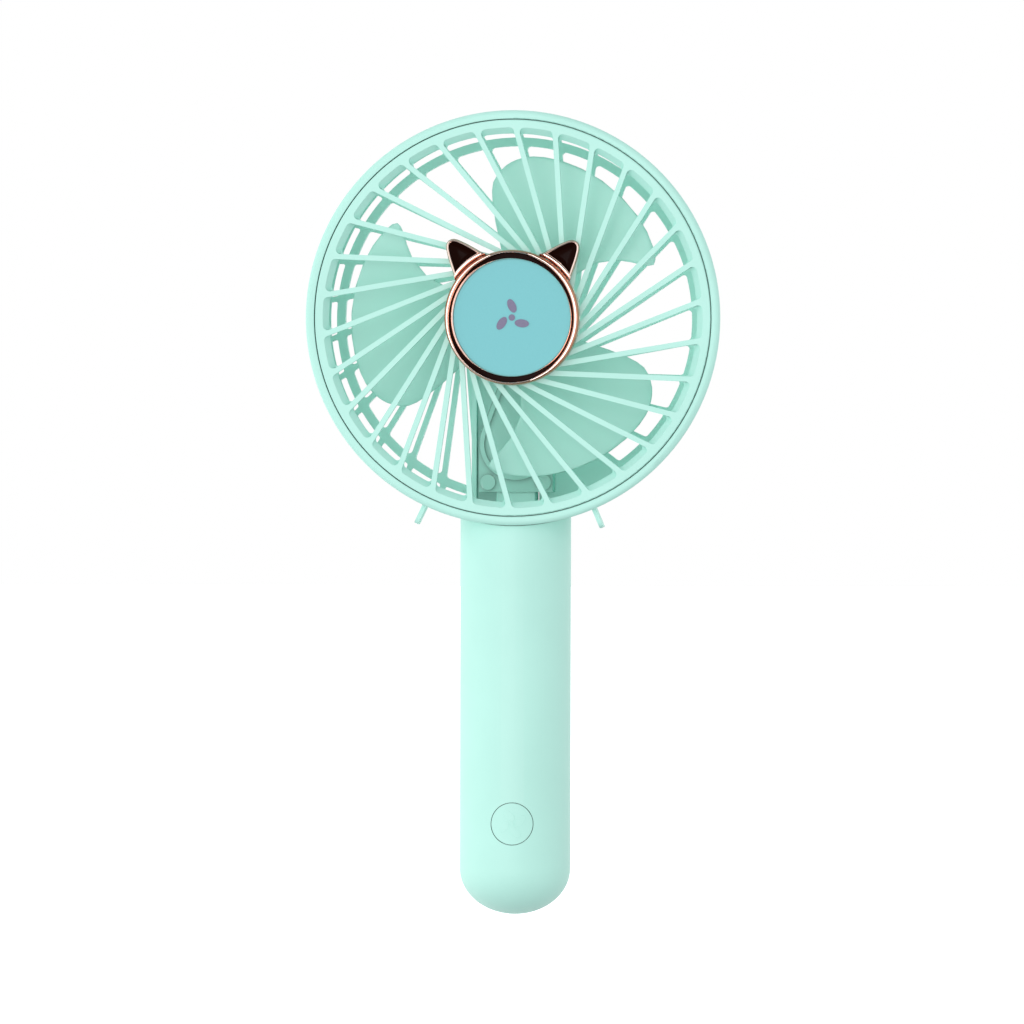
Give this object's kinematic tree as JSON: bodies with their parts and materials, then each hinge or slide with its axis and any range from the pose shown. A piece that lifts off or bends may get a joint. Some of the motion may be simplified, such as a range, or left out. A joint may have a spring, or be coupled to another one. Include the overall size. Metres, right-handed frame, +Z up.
{
  "type": "handheld electric fan",
  "caption": "Folding handheld electric fan with a round grille, cat-ear badge and straight cylindrical handle with a press button.",
  "frame": {"origin": "on the handle's axis near the middle of the grip, 55.6 mm above the bottom of the handle", "axes": "+Z up the handle, -Y to the front where the air comes out, +X to the right seen from the front"},
  "size_m": [0.1038, 0.0342, 0.2015],
  "materials": {
    "mint_plastic": "satin moulded ABS in pale mint green",
    "mint_blade": "smooth moulded polypropylene in pale mint green",
    "rose_gold": "polished rose-gold plating",
    "dark_inlay": "dark glossy inlay",
    "teal_disc": "satin teal",
    "mauve_print": "muted mauve pad print",
    "steel": "plated steel",
    "dark_steel": "ground steel shaft",
    "screw_steel": "zinc-plated steel",
    "black_plastic": "black moulded plastic",
    "ferrite": "ferrite magnet",
    "bronze": "sintered bronze",
    "copper": "enamelled copper",
    "lamination": "stacked steel laminations",
    "tin": "tinned metal",
    "red_wire": "silicone wire insulation",
    "white_plastic": "white acetal",
    "cell_wrap": "blue sleeved lithium cell",
    "foam": "black foam tape",
    "circuit_board": "green solder mask",
    "chip": "black component bodies",
    "clear_led": "milky light pipe"
  },
  "bodies": {
    "handle": {"neck": "mint_plastic", "hinge_pin": "dark_steel", "hinge_washers": "white_plastic", "handle_front": "mint_plastic", "handle_back": "mint_plastic", "handle_screws": "screw_steel", "tact_switch": "steel", "battery_cell": "cell_wrap", "battery_tabs": "tin", "battery_pads": "foam", "main_board": "circuit_board", "board_parts": "chip", "board_screws": "screw_steel", "usb_board": "circuit_board", "usb_port": "steel", "usb_tongue": "black_plastic", "charge_led": "clear_led", "power_leads": "red_wire", "battery_leads": "red_wire", "usb_leads": "red_wire"},
    "head": {"rear_shell": "mint_plastic", "front_grille": "mint_plastic", "badge_ring": "rose_gold", "ear_inserts": "dark_inlay", "badge_disc": "teal_disc", "badge_mark": "mauve_print", "motor_can": "steel", "motor_end_cap": "black_plastic", "motor_magnets": "ferrite", "motor_bushes": "bronze", "motor_terminals": "tin", "motor_brushes": "copper", "motor_screws": "screw_steel", "hub_cap": "mint_plastic", "motor_leads": "red_wire", "hinge_cover": "mint_plastic", "cover_screws": "screw_steel"},
    "rotor": {"motor_shaft": "dark_steel", "motor_armature": "lamination", "motor_windings": "copper", "motor_commutator": "copper", "impeller": "mint_blade"},
    "button": {"button": "mint_plastic", "switch_stem": "black_plastic"}
  },
  "joints": [
    {"name": "head_fold", "type": "hinge", "parent": "handle", "child": "head", "pos_m": [0, 0.0066, 0.0625], "axis": [-1, 0, 0], "range_deg": [0, 90]},
    {"name": "rotor_spin", "type": "hinge", "parent": "head", "child": "rotor", "pos_m": [0, 0, 0.094], "axis": [0, -1, 0], "continuous": true},
    {"name": "button_press", "type": "slide", "parent": "handle", "child": "button", "axis": [0, 1, 0], "range_m": [0, 0.0004], "stiffness_N_per_m": 1500, "springref_m": -0.0004}
  ]
}
